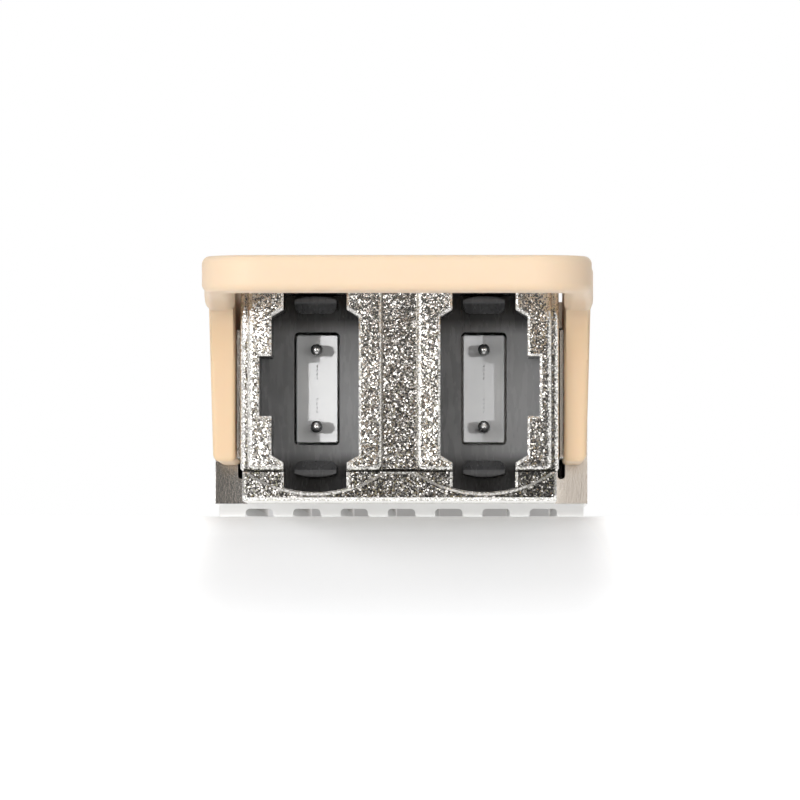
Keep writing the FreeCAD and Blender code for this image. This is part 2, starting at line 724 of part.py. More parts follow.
def make_ribbon():
    start = HOUSING_BACK_Y - 3.8
    straight = RETAINER_BACK_Y + 0.2
    level = BOARD_FRONT_Y - 2.0
    lens_y = LENS_Y + 0.6
    end_x = OPTICS_X
    end_z = BOARD_Z - 1.3
    sections = [ribbon_section(start, PORT_X, PORT_Z, math.pi / 2)]
    steps = 10
    for i in range(steps + 1):
        t = i / steps
        ease = t * t * (3 - 2 * t)
        y = straight + (level - straight) * t
        x = PORT_X + (end_x - PORT_X) * ease
        z = PORT_Z + (end_z - PORT_Z) * ease
        sections.append(ribbon_section(y, x, z, math.pi / 2 * (1 - ease)))
    sections.append(ribbon_section(lens_y, end_x, end_z, 0))
    return Part.makeLoft(sections, True, True)


# Circuit board and its parts
def make_board():
    narrow = BAY_HALF - BOARD_CLEAR + 0.05
    wide = REAR_BAY_HALF - BOARD_CLEAR
    plan = [
        (-narrow, BOARD_FRONT_Y),
        (narrow, BOARD_FRONT_Y),
        (narrow, BOARD_WIDE_Y),
        (wide, BOARD_WIDE_Y + 1),
        (wide, BOARD_END_Y - 0.4),
        (wide - 0.4, BOARD_END_Y),
        (0.4 - wide, BOARD_END_Y),
        (-wide, BOARD_END_Y - 0.4),
        (-wide, BOARD_WIDE_Y + 1),
        (-narrow, BOARD_WIDE_Y),
    ]
    board = prism_z(plan, BOARD_Z, BOARD_TOP)
    notches = []
    for x, y, wall in screw_spots():
        notches.append(rod_z(x, y, BOSS_R + 0.25, BOARD_Z - 1, BOARD_TOP + 1))
        side = block(abs(x), wall + 1, y - 1.6, y + 1.6, BOARD_Z - 1, BOARD_TOP + 1)
        notches.append(side if x > 0 else mirrored(side))
    return carved(board, notches)


def contact_row(z0, z1):
    strips = []
    front = BOARD_END_Y - 2.6
    for i in range(CONTACT_COUNT):
        x = (i - (CONTACT_COUNT - 1) / 2) * CONTACT_PITCH
        back = BOARD_END_Y - 0.2 - 0.5 * (i % 3 == 1)
        strips.append(block(x - 0.19, x + 0.19, front, back, z0, z1))
    return strips


def chip_above(x, y, w, l, h):
    body = block(x - w / 2, x + w / 2, y - l / 2, y + l / 2, BOARD_TOP, BOARD_TOP + h)
    return body.makeChamfer(min(w, l, h) * 0.12, edges_on_plane(body, V(0, 0, 1), BOARD_TOP + h))


def chip_below(x, y, w, l, h):
    body = block(x - w / 2, x + w / 2, y - l / 2, y + l / 2, BOARD_Z - h, BOARD_Z)
    return body.makeChamfer(min(w, l, h) * 0.12, edges_on_plane(body, V(0, 0, 1), BOARD_Z - h))


def make_lens_block():
    half = LENS_W / 2
    back = LENS_Y + LENS_L
    lens = block(OPTICS_X - half, OPTICS_X + half, LENS_Y, back, BOARD_Z - 2.2, BOARD_Z)
    slope = [(back - 1.5, BOARD_Z - 2.3), (back + 0.1, BOARD_Z - 2.3), (back + 0.1, BOARD_Z - 0.7)]
    slot_half = RIBBON_W / 2 + 0.05
    mouth_z = BOARD_Z - 1.3
    mouth = block(
        OPTICS_X - slot_half, OPTICS_X + slot_half, LENS_Y - 0.5, LENS_Y + 2, mouth_z - 0.2, mouth_z + 0.2
    )
    return carved(lens, [prism_x(slope, OPTICS_X - half - 1, OPTICS_X + half + 1), mouth])


# Latch strip, bent outwards at its end, with a lug for the return spring
def make_latch_arm():
    wide = [
        (STRIP_FRONT_Y, STRIP_LOW_Z),
        (STRIP_WIDE_END_Y, STRIP_LOW_Z),
        (STRIP_WIDE_END_Y + 2.5, TONGUE_LOW_Z),
        (WINDOW_FRONT_Y + 1, TONGUE_LOW_Z),
        (WINDOW_FRONT_Y + 1, TONGUE_HIGH_Z),
        (STRIP_WIDE_END_Y + 2.5, TONGUE_HIGH_Z),
        (STRIP_WIDE_END_Y, STRIP_HIGH_Z),
        (STRIP_FRONT_Y, STRIP_HIGH_Z),
    ]
    strip = prism_x(wide, STRIP_X, STRIP_OUT_X)
    bend_y = WINDOW_FRONT_Y + 12
    rise = BODY_HALF - 0.24 - STRIP_OUT_X
    plan = [
        (STRIP_X, WINDOW_FRONT_Y),
        (STRIP_X, bend_y),
        (STRIP_X + rise, bend_y + 5),
        (STRIP_X + rise, bend_y + 6.5),
        (STRIP_OUT_X + rise, bend_y + 6.5),
        (STRIP_OUT_X + rise, bend_y + 4.9),
        (STRIP_OUT_X, bend_y - 0.1),
        (STRIP_OUT_X, WINDOW_FRONT_Y),
    ]
    tongue = prism_z(plan, TONGUE_LOW_Z, TONGUE_HIGH_Z)
    corners = [e for e in edges_along(tongue, V(1, 0, 0)) if e.CenterOfMass.y > bend_y + 6.4]
    tongue = rounded(tongue, 1.0, corners)
    lug_low = SPRING_Z - 0.9
    lug = block(
        SPRING_X - 0.6, STRIP_X + 0.1, SPRING_END_Y, SPRING_END_Y + LUG_T, lug_low, LUG_TOP_Z
    )
    lance_y = SPRING_END_Y - 1.9
    lance = block(STRIP_X - 1, STRIP_OUT_X + 1, lance_y, SPRING_END_Y, lug_low, LUG_TOP_Z)
    holes = [rod_x(y, z, STUD_R + 0.05, STRIP_X - 1, STRIP_OUT_X + 1) for y, z in stud_spots()]
    return joined([carved(strip, [lance] + holes), tongue, lug])


def stud_spots():
    middle = (STRIP_LOW_Z + STRIP_HIGH_Z) / 2
    spots = []
    for y in (STRIP_FRONT_Y + 2.3, ARM_BACK_Y - 2.8):
        for z in (middle - 2.4, middle + 2.4):
            spots.append((y, z))
    return spots


def make_spring():
    height = SPRING_L - 2 * WIRE_R - 0.1
    helix = Part.makeHelix(height / SPRING_TURNS, height, SPRING_R)
    ring = Part.makeCircle(WIRE_R, V(SPRING_R, 0, 0), V(0, 1, 0))
    coil = Part.Wire(helix.Edges).makePipeShell([Part.Wire([ring])], True, True)
    coil = coil if coil.ShapeType == "Solid" else Part.Solid(coil)
    coil.rotate(V(0, 0, 0), V(1, 0, 0), -90)
    coil.translate(V(SPRING_X, SPRING_FRONT_Y + WIRE_R + 0.05, SPRING_Z))
    return coil


# Pull tab: a loop in front, two side members, and an arm down each side of the nose
def ease(start, end, at):
    half = (end[0] - start[0]) / 2
    rise = (end[1] - start[1]) / 2
    r = (half * half + rise * rise) / (2 * rise)
    quarter = r - math.copysign(math.sqrt(r * r - half * half / 4), r)
    first = [start, (start[0] + half / 2, start[1] + quarter), (start[0] + half, start[1] + rise)]
    last = [first[2], (end[0] - half / 2, end[1] - quarter), end]
    return [Part.Arc(*[at(*point) for point in bow]).toShape() for bow in (first, last)]


def tab_plan():
    waist = BODY_HALF - 0.14
    hips = BODY_HALF + TAB_FLARE
    front = V(waist, -TAB_REACH, TAB_TOP)
    flare_y = TAB_BAR + 4 - TAB_REACH
    flare_end_y = ARM_FRONT_Y - 6
    side = [Part.makeLine(front, V(waist, flare_y, TAB_TOP))]
    side += ease((flare_y, waist), (flare_end_y, hips), lambda y, x: V(x, y, TAB_TOP))
    back = V(hips, ARM_BACK_Y, TAB_TOP)
    side.append(Part.makeLine(V(hips, flare_end_y, TAB_TOP), back))
    edges = side + [mirrored(edge) for edge in side]
    edges.append(Part.makeLine(front, V(-waist, -TAB_REACH, TAB_TOP)))
    edges.append(Part.makeLine(back, V(-hips, ARM_BACK_Y, TAB_TOP)))
    return Part.Face(Part.Wire(Part.__sortEdges__(edges)))


def tab_underside():
    x = -BODY_W
    low = TAB_LOW - TAB_SIDE_DROP
    drop_y = ARM_FRONT_Y - 12
    drop_end_y = ARM_FRONT_Y - 5
    points = [(drop_end_y, low), (drop_end_y, low - 1), (-TAB_REACH - 1, low - 1), (-TAB_REACH - 1, TAB_LOW)]
    points.append((drop_y, TAB_LOW))
    corners = [V(x, y, z) for y, z in points]
    edges = ease((drop_y, TAB_LOW), (drop_end_y, low), lambda y, z: V(x, y, z))
    edges += [Part.makeLine(a, b) for a, b in zip(corners, corners[1:])]
    return Part.Face(Part.Wire(Part.__sortEdges__(edges))).extrude(V(2 * BODY_W, 0, 0))


def tab_loop():
    front = -TAB_REACH
    deep = TAB_T + TAB_SIDE_DROP
    ring = tab_plan().extrude(V(0, 0, -deep))
    gap = block(-TAB_IN_X, TAB_IN_X, front + TAB_BAR, ARM_BACK_Y + 1, TAB_TOP - deep - 1, TAB_TOP + 1)
    ring = ring.cut([gap, tab_underside()])
    upright = edges_along(ring, V(0, 0, 1))
    outer = [e for e in upright if e.CenterOfMass.y < front + 0.1]
    ring = rounded(ring, 3.2, outer)
    upright = edges_along(ring, V(0, 0, 1))
    inner = [e for e in upright if abs(e.CenterOfMass.y - front - TAB_BAR) < 0.01]
    ring = rounded(ring, 1.8, inner)
    rims = []
    for edge in ring.Edges:
        flat = abs(edge.CenterOfMass.z - TAB_TOP) < 1e-4 or edge.CenterOfMass.z < TAB_LOW + 1e-4
        across = edge in edges_along(ring, V(1, 0, 0)) and edge.CenterOfMass.y > front + TAB_BAR + 1
        if flat and not across:
            rims.append(edge)
    return rounded(ring, 0.45, rims)


def tab_arm():
    top = TAB_LOW + 0.7
    section = [
        (TAB_IN_X, ARM_BOTTOM_Z),
        (BODY_HALF - ARM_TAPER, ARM_BOTTOM_Z),
        (BODY_HALF + 0.03, TAB_LOW - TAB_SIDE_DROP),
        (BODY_HALF + 0.03, top),
        (TAB_IN_X, top),
    ]
    arm = prism_y(section, ARM_FRONT_Y, ARM_BACK_Y)
    keel = [e for e in edges_along(arm, V(0, 1, 0)) if e.CenterOfMass.z < ARM_BOTTOM_Z + 0.1]
    arm = rounded(arm, 0.45, [e for e in keel if e.CenterOfMass.x > TAB_IN_X + 0.1])
    inner = [e for e in edges_along(arm, V(0, 1, 0)) if abs(e.CenterOfMass.x - TAB_IN_X) < 1e-4]
    inner = [e for e in inner if e.CenterOfMass.z < ARM_BOTTOM_Z + 0.1]
    arm = rounded(arm, 0.3, inner)
    face = [e for e in edges_on_plane(arm, V(0, 1, 0), ARM_FRONT_Y) if e.CenterOfMass.z < TAB_LOW - 0.3]
    return rounded(arm, 0.25, face)


def tab_gusset():
    r = 3.0
    x = TAB_IN_X + 0.1
    level = TAB_LOW - TAB_SIDE_DROP + 0.1
    a = V(x, ARM_FRONT_Y - r, level)
    b = V(x, ARM_FRONT_Y + 0.4, level)
    c = V(x, ARM_FRONT_Y + 0.4, level - r)
    d = V(x, ARM_FRONT_Y, level - r)
    bow = r * (1 - math.sqrt(0.5))
    middle = V(x, ARM_FRONT_Y - bow, level - bow)
    edges = [Part.makeLine(a, b), Part.makeLine(b, c), Part.makeLine(c, d)]
    edges.append(Part.Arc(d, middle, a).toShape())
    return Part.Face(Part.Wire(edges)).extrude(V(BODY_HALF - 0.1 - x, 0, 0))


def make_pull_tab():
    arms = twin(tab_arm())
    gussets = twin(tab_gusset())
    tab = joined([tab_loop()] + arms + gussets)
    low = STRIP_LOW_Z - 0.05
    high = STRIP_HIGH_Z + 0.05
    pocket = block(TAB_IN_X - 0.5, STRIP_OUT_X, STRIP_FRONT_Y - 0.05, ARM_BACK_Y + 1, low, high)
    tab = tab.cut(twin(pocket))
    studs = []
    for y, z in stud_spots():
        studs.extend(twin(rod_x(y, z, STUD_R, STRIP_X, STRIP_OUT_X + 0.2)))
    return joined([tab] + studs)


# Build every piece and write it
os.makedirs("parts", exist_ok=True)

save("finned_shell", [make_finned_shell()])
save("belly_shell", [make_belly_shell()])
save("shell_screws", make_screws())
save_pair("port_housing", make_port_housing())
save_pair("port_gasket", make_port_gasket())
save_pair("ferrule", make_ferrule())
save("right_guide_pins", make_guide_pins())
save("left_guide_pins", [mirrored(pin) for pin in make_guide_pins()])
save_pair("pin_keeper", make_pin_keeper())
save("ferrule_retainer", [make_retainer()])
save_pair("fibre_ribbon", make_ribbon())

save("circuit_board", [make_board()])
save("upper_edge_contacts", contact_row(BOARD_TOP, BOARD_TOP + CONTACT_T))
save("lower_edge_contacts", contact_row(BOARD_Z - CONTACT_T, BOARD_Z))
save("signal_processor", [chip_below(0, PROCESSOR_Y, PROCESSOR_SIDE, PROCESSOR_SIDE, PROCESSOR_H)])
pad_half = PROCESSOR_SIDE / 2 - 0.5
pad_top = BOARD_Z - PROCESSOR_H
pad = block(-pad_half, pad_half, PROCESSOR_Y - pad_half, PROCESSOR_Y + pad_half, pad_top - PAD_T, pad_top)
save("processor_thermal_pad", [pad])
save_pair("lens_block", make_lens_block())
save_pair("optical_engine", chip_below(OPTICS_X, ENGINE_Y, ENGINE_W, ENGINE_L, ENGINE_H))
pad_w = ENGINE_W / 2 - 0.2
pad_l = ENGINE_L / 2 - 0.2
pad_top = BOARD_Z - ENGINE_H
pad = block(OPTICS_X - pad_w, OPTICS_X + pad_w, ENGINE_Y - pad_l, ENGINE_Y + pad_l, pad_top - PAD_T, pad_top)
save("engine_thermal_pads", twin(pad))

save("driver_chips", twin(chip_above(OPTICS_X, ENGINE_Y, 3.6, 4.4, HEADROOM * 0.2)))
save("microcontroller", [chip_above(-3.2, REAR_BOSS_Y - 19.5, 6.0, 6.0, HEADROOM * 0.22)])
regulators = [chip_above(x, REAR_BOSS_Y - 20, 2.6, 3.4, HEADROOM * 0.24) for x in (3.4, 6.8)]
save("regulators", regulators)
inductors = [chip_above(x, REAR_BOSS_Y - 13, 3.0, 3.0, HEADROOM * 0.5) for x in (2.6, 6.4)]
save("inductors", inductors)
save("crystal", [chip_above(-4.6, REAR_BOSS_Y - 13.5, 3.2, 2.5, HEADROOM * 0.2)])
capacitors = []
for row in range(2):
    for i in range(8):
        x = (i - 3.5) * 1.9
        y = REAR_BOSS_Y - 7.2 - 2.4 * row
        capacitors.append(chip_above(x, y, 0.8, 1.6, HEADROOM * 0.19))
save("capacitors", capacitors)

groove_x = REAR_BAY_HALF + 0.4
seal = block(groove_x, groove_x + 0.5, BOARD_WIDE_Y - 1.9, MODULE_L - 2.9, SEAM_Z - 0.4, SEAM_Z)
save("seam_gaskets", twin(seal))
save_pair("latch_arm", make_latch_arm())
save_pair("return_spring", make_spring())
save("pull_tab", [make_pull_tab()])
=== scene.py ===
import math

import bmesh
import bpy
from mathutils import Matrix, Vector


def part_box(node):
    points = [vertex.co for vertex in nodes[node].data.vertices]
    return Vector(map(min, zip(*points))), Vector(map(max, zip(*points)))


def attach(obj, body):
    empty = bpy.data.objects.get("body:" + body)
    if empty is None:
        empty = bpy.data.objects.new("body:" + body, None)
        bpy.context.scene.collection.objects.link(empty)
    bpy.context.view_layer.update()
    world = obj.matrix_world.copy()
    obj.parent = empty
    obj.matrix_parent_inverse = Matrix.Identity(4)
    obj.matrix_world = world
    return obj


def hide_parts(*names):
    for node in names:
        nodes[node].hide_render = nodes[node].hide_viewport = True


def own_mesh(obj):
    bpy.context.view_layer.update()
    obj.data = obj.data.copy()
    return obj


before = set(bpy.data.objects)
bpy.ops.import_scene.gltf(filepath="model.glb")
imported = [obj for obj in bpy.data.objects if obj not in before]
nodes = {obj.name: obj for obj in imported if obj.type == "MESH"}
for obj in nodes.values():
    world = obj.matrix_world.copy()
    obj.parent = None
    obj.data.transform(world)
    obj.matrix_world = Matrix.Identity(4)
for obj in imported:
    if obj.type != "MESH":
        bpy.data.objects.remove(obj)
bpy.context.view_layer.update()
scene = bpy.context.scene
scene.view_settings.view_transform = "Standard"

# Places on the object, in metres
MM = 0.001
shell_low, shell_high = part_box("belly_shell")
ferrule_low, ferrule_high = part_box("right_ferrule")
NOSE_Y = shell_low.y
SHOULDER_Y = NOSE_Y + 18.0 * MM
END_Y = shell_high.y
SEAM_Z = shell_low.z
NOSE_LOW_Z = 0.75 * MM
PORT_X = (ferrule_low.x + ferrule_high.x) / 2
PORT_Z = (ferrule_low.z + ferrule_high.z) / 2
FERRULE_FACE_Y = NOSE_Y + 9.3 * MM
FERRULE_TILT = math.radians(8.0)

# Finishes that many pieces share
SMALL_EDGE = 0.05 * MM
FINE_RELIEF = 0.01 * MM
BRUSHED = (1.0, 0.08, 1.0)

# Where the mix node has its two inputs and its output, for each kind of value
MIX_SOCKETS = {"FLOAT": (2, 3, 0), "VECTOR": (4, 5, 1), "RGBA": (6, 7, 2)}


# Shader helpers
def new_material(name):
    made = bpy.data.materials.new(name)
    made.use_nodes = True
    tree = made.node_tree
    return made, tree, tree.nodes["Principled BSDF"]


def add(tree, kind, **values):
    node = tree.nodes.new(kind)
    for key, value in values.items():
        if key in node.inputs:
            node.inputs[key].default_value = value
        else:
            setattr(node, key, value)
    return node


def wire(tree, source, target):
    tree.links.new(source, target)


# Gives a socket a colour, a plain number or another socket's value
def feed(tree, value, socket):
    if isinstance(value, tuple):
        socket.default_value = (*value, 1.0)
    elif isinstance(value, float):
        socket.default_value = value
    else:
        wire(tree, value, socket)


def place(tree):
    return add(tree, "ShaderNodeTexCoord").outputs["Object"]


def split(tree, vector):
    node = add(tree, "ShaderNodeSeparateXYZ")
    wire(tree, vector, node.inputs["Vector"])
    return node.outputs


def noise(tree, size, stretch=None):
    node = add(tree, "ShaderNodeTexNoise", Scale=1.0 / size, Detail=3.0, Roughness=0.55)
    spot = place(tree)
    if stretch:
        turn = add(tree, "ShaderNodeMapping")
        turn.inputs["Scale"].default_value = stretch
        wire(tree, spot, turn.inputs["Vector"])
        spot = turn.outputs["Vector"]
    wire(tree, spot, node.inputs["Vector"])
    return node.outputs["Fac"]


def ramp(tree, value, low, high, start, end):
    node = add(tree, "ShaderNodeMapRange")
    node.inputs["From Min"].default_value = low
    node.inputs["From Max"].default_value = high
    node.inputs["To Min"].default_value = start
    node.inputs["To Max"].default_value = end
    wire(tree, value, node.inputs["Value"])
    return node.outputs["Result"]


# Cloudy patches of one size
def patches(tree, size, start=0.0, end=1.0):
    return ramp(tree, noise(tree, size), 0.3, 0.7, start, end)


def math_node(tree, operation, *values):
    node = add(tree, "ShaderNodeMath", operation=operation)
    for value, socket in zip(values, node.inputs):
        feed(tree, value, socket)
    return node.outputs["Value"]


def times(tree, first, second):
    return math_node(tree, "MULTIPLY", first, second)


def minus(tree, first, second):
    return math_node(tree, "SUBTRACT", first, second)


def larger(tree, first, second):
    return math_node(tree, "MAXIMUM", first, second)


def size_of(tree, value):
    return math_node(tree, "ABSOLUTE", value)


def add_vectors(tree, first, second):
    node = add(tree, "ShaderNodeVectorMath", operation="ADD")
    wire(tree, first, node.inputs[0])
    wire(tree, second, node.inputs[1])
    return node.outputs["Vector"]


def blend(tree, kind, amount, first, second):
    node = add(tree, "ShaderNodeMix", data_type=kind)
    first_place, second_place, result = MIX_SOCKETS[kind]
    wire(tree, amount, node.inputs[0])
    feed(tree, first, node.inputs[first_place])
    feed(tree, second, node.inputs[second_place])
    return node.outputs[result]


def blend_value(tree, amount, first, second):
    return blend(tree, "FLOAT", amount, first, second)


def blend_vector(tree, amount, first, second):
    return blend(tree, "VECTOR", amount, first, second)


def blend_colour(tree, amount, first, second):
    return blend(tree, "RGBA", amount, first, second)


def bump(tree, height, strength, depth, normal):
    node = add(tree, "ShaderNodeBump", Strength=strength, Distance=depth)
    wire(tree, height, node.inputs["Height"])
    wire(tree, normal, node.inputs["Normal"])
    return node.outputs["Normal"]


def soft_edges(tree, radius):
    return add(tree, "ShaderNodeBevel", Radius=radius, samples=4).outputs["Normal"]


# A finely uneven surface with softened edges
def fine_surface(tree, surface, grain, strength, edge, stretch=None):
    height = noise(tree, grain, stretch)
    normal = bump(tree, height, strength, FINE_RELIEF, soft_edges(tree, edge))
    wire(tree, normal, surface.inputs["Normal"])


# How far a point lies to the right of the middle of its own port
def across_port(tree, x):
    centre = times(tree, math_node(tree, "SIGN", x), PORT_X)
    return minus(tree, x, centre)


# Flakes: every cell of a fine pattern leans its own way, as a grainy casting does under plating
def flakes(tree, size, lean, normal):
    cells = add(tree, "ShaderNodeTexVoronoi", Scale=1.0 / size)
    wire(tree, place(tree), cells.inputs["Vector"])
    centred = add(tree, "ShaderNodeVectorMath", operation="SUBTRACT")
    wire(tree, cells.outputs["Color"], centred.inputs[0])
    centred.inputs[1].default_value = (0.5, 0.5, 0.5)
    scaled = add(tree, "ShaderNodeVectorMath", operation="SCALE")
    wire(tree, centred.outputs["Vector"], scaled.inputs[0])
    wire(tree, lean, scaled.inputs["Scale"])
    unit = add(tree, "ShaderNodeVectorMath", operation="NORMALIZE")
    wire(tree, add_vectors(tree, normal, scaled.outputs["Vector"]), unit.inputs[0])
    return unit.outputs["Vector"], cells.outputs["Color"]


# One on faces square to the object's axes, nothing on rounded and bevelled edges
def square_faces(tree):
    parts = split(tree, add(tree, "ShaderNodeTexCoord").outputs["Normal"])
    x, y, z = [size_of(tree, parts[axis]) for axis in ("X", "Y", "Z")]
    return ramp(tree, larger(tree, larger(tree, x, y), z), 0.965, 0.995, 0.0, 1.0)


# One along sharp edges, where the rounded normal leaves the true one
def sharp_edges(tree, normal):
    likeness = add(tree, "ShaderNodeVectorMath", operation="DOT_PRODUCT")
    wire(tree, normal, likeness.inputs[0])
    wire(tree, add(tree, "ShaderNodeNewGeometry").outputs["Normal"], likeness.inputs[1])
    return ramp(tree, likeness.outputs["Value"], 0.9, 0.99, 1.0, 0.0)


# A slight crown across each port frame and across the whole nose, as the casting has
def crowned(tree, x, normal):
    port_half = 4.0 * MM
    nose_half = 9.0 * MM
    own = ramp(tree, across_port(tree, x), -port_half, port_half, -0.05, 0.05)
    whole = ramp(tree, x, -nose_half, nose_half, -0.07, 0.07)
    beside_web = ramp(tree, size_of(tree, x), 0.9 * MM, 1.0 * MM, 0.0, 1.0)
    tilt = add(tree, "ShaderNodeCombineXYZ")
    wire(tree, math_node(tree, "ADD", times(tree, own, beside_web), whole), tilt.inputs["X"])
    return add_vectors(tree, normal, tilt.outputs["Vector"])


# Zones of the casting, each from nothing to one
def shell_zones(tree, spot, edges):
    rear = ramp(tree, spot["Y"], SHOULDER_Y - 0.4 * MM, SHOULDER_Y - 0.1 * MM, 0.0, 1.0)
    low = ramp(tree, spot["Z"], NOSE_LOW_Z - 0.01 * MM, NOSE_LOW_Z + 0.01 * MM, 1.0, 0.0)
    flat = times(tree, square_faces(tree), minus(tree, 1.0, sharp_edges(tree, edges)))
    grain = ramp(tree, flat, 0.0, 1.0, 0.75, 1.0)
    return {
        "rear": rear,
        "fins": times(tree, rear, low),
        "flat": flat,
        "grainy": times(tree, grain, minus(tree, 1.0, rear)),
        "front": ramp(tree, spot["Y"], NOSE_Y + 0.5 * MM, NOSE_Y + 0.8 * MM, 1.0, 0.0),
        # Top of the nose, which gets painted light in its colour and less lean in its flakes
        "high": ramp(tree, spot["Z"], 6.0 * MM, 11.0 * MM, 0.0, 1.0),
    }


# Edges of the lower half of the nose beside the ports, which get no painted highlight
def dull_edges(tree, spot):
    from_port = size_of(tree, minus(tree, size_of(tree, spot["X"]), PORT_X))
    beside = ramp(tree, from_port, 2.2 * MM, 2.7 * MM, 0.0, 0.8)
    under_seam = ramp(tree, spot["Z"], SEAM_Z - 0.15 * MM, SEAM_Z - 0.1 * MM, 1.0, 0.0)
    over_foot = ramp(tree, spot["Z"], 1.0 * MM, 1.1 * MM, 0.0, 1.0)
    return times(tree, times(tree, beside, under_seam), over_foot)


# Patchy plating, paler towards the top as painted light, with painted shade where it is set back or
# below the seam and painted highlights speckled on the edges
def nose_colour(tree, spot, zones, cells):
    colour = blend_colour(tree, patches(tree, 2.5 * MM), (0.5, 0.48, 0.45), (0.57, 0.55, 0.52))
    # Painted light: paler towards the top of the nose
    colour = blend_colour(tree, zones["high"], colour, (0.63, 0.61, 0.58))
    # Painted shade on the set-back front faces, less of it towards the top
    sunk_shade = ramp(tree, spot["Y"], NOSE_Y + 0.05 * MM, NOSE_Y + 0.09 * MM, 0.0, 0.8)
    sunk_shade = times(tree, sunk_shade, ramp(tree, zones["high"], 0.0, 1.0, 1.0, 0.6))
    colour = blend_colour(tree, times(tree, sunk_shade, zones["front"]), colour, (0.27, 0.257, 0.243))
    # Painted shade on the front below the seam
    lower = ramp(tree, spot["Z"], SEAM_Z - 0.1 * MM, SEAM_Z, 0.5, 0.0)
    colour = blend_colour(tree, times(tree, lower, zones["front"]), colour, (0.16, 0.152, 0.144))
    # Painted highlight on the edges, speckled cell by cell from grey to near white
    speckled_highlight = blend_colour(tree, cells["X"], (0.4, 0.385, 0.365), (0.98, 0.96, 0.93))
    speckled_highlight = blend_colour(tree, dull_edges(tree, spot), speckled_highlight, colour)
    return blend_colour(tree, zones["flat"], speckled_highlight, colour)


# A dark line along the seam at the front of the nose
def seam_groove(tree, spot):
    from_seam = size_of(tree, minus(tree, spot["Z"], SEAM_Z))
    line = ramp(tree, from_seam, 0.02 * MM, 0.05 * MM, 0.85, 0.0)
    return times(tree, line, ramp(tree, spot["Y"], NOSE_Y + 2.0 * MM, NOSE_Y + 3.0 * MM, 1.0, 0.0))


# Polished shoulders, a smooth nose, a satin body and matte fins
def shell_roughness(tree, spot, zones):
    shoulder = ramp(tree, spot["Y"], SHOULDER_Y + 0.2 * MM, SHOULDER_Y + 0.5 * MM, 1.0, 0.0)
    body = blend_value(tree, shoulder, 0.32, 0.12)
    rough = blend_value(tree, zones["rear"], 0.18, body)
    return blend_value(tree, zones["fins"], rough, 0.5)


# Plated casting: grainy on the nose, brushed on the body, clean on every edge, pale on the fins; painted
# light, shade and highlights on the front of the nose
def shell_material():
    made, tree, surface = new_material("nickel_casting")
    spot = split(tree, place(tree))
    edges = soft_edges(tree, 0.04 * MM)
    zones = shell_zones(tree, spot, edges)
    lean = ramp(tree, zones["high"], 0.0, 1.0, 0.53, 0.38)
    grain, cell_colour = flakes(tree, 0.08 * MM, lean, crowned(tree, spot["X"], edges))
    cells = split(tree, cell_colour)
    grain = bump(tree, noise(tree, 0.2 * MM), 0.3, 0.02 * MM, grain)
    satin = bump(tree, noise(tree, 0.1 * MM, (1.0, 0.06, 0.3)), 0.2, FINE_RELIEF, edges)
    wire(tree, blend_vector(tree, zones["grainy"], satin, grain), surface.inputs["Normal"])
    colour = nose_colour(tree, spot, zones, cells)
    colour = blend_colour(tree, zones["rear"], colour, (0.66, 0.64, 0.615))
    warm = times(tree, ramp(tree, cells["Z"], 0.8, 0.9, 0.0, 0.3), zones["grainy"])
    colour = blend_colour(tree, warm, colour, (0.7, 0.7, 0.45))
    colour = blend_colour(tree, zones["fins"], colour, (0.92, 0.92, 0.91))
    colour = blend_colour(tree, seam_groove(tree, spot), colour, (0.03, 0.03, 0.03))
    wire(tree, colour, surface.inputs["Base Color"])
    surface.inputs["Metallic"].default_value = 1.0
    wire(tree, shell_roughness(tree, spot, zones), surface.inputs["Roughness"])
    return made


# Tan plastic, with painted shade on the arms below the bar as a deeper colour
def tab_material():
    made, tree, surface = new_material("tan_plastic")
    colour = blend_colour(tree, patches(tree, 4.0 * MM), (0.88, 0.68, 0.485), (0.9, 0.7, 0.505))
    arm_shade = ramp(tree, split(tree, place(tree))["Z"], 11.0 * MM, 13.0 * MM, 1.0, 0.0)
    colour = blend_colour(tree, arm_shade, colour, (0.86, 0.63, 0.41))
    wire(tree, colour, surface.inputs["Base Color"])
    surface.inputs["Roughness"].default_value = 0.5
    surface.inputs["Subsurface Weight"].default_value = 0.2
    surface.inputs["Subsurface Radius"].default_value = (1.2 * MM, 0.7 * MM, 0.4 * MM)
    surface.inputs["Subsurface Scale"].default_value = 1.0
    fine_surface(tree, surface, 0.12 * MM, 0.15, 0.15 * MM)
    return made


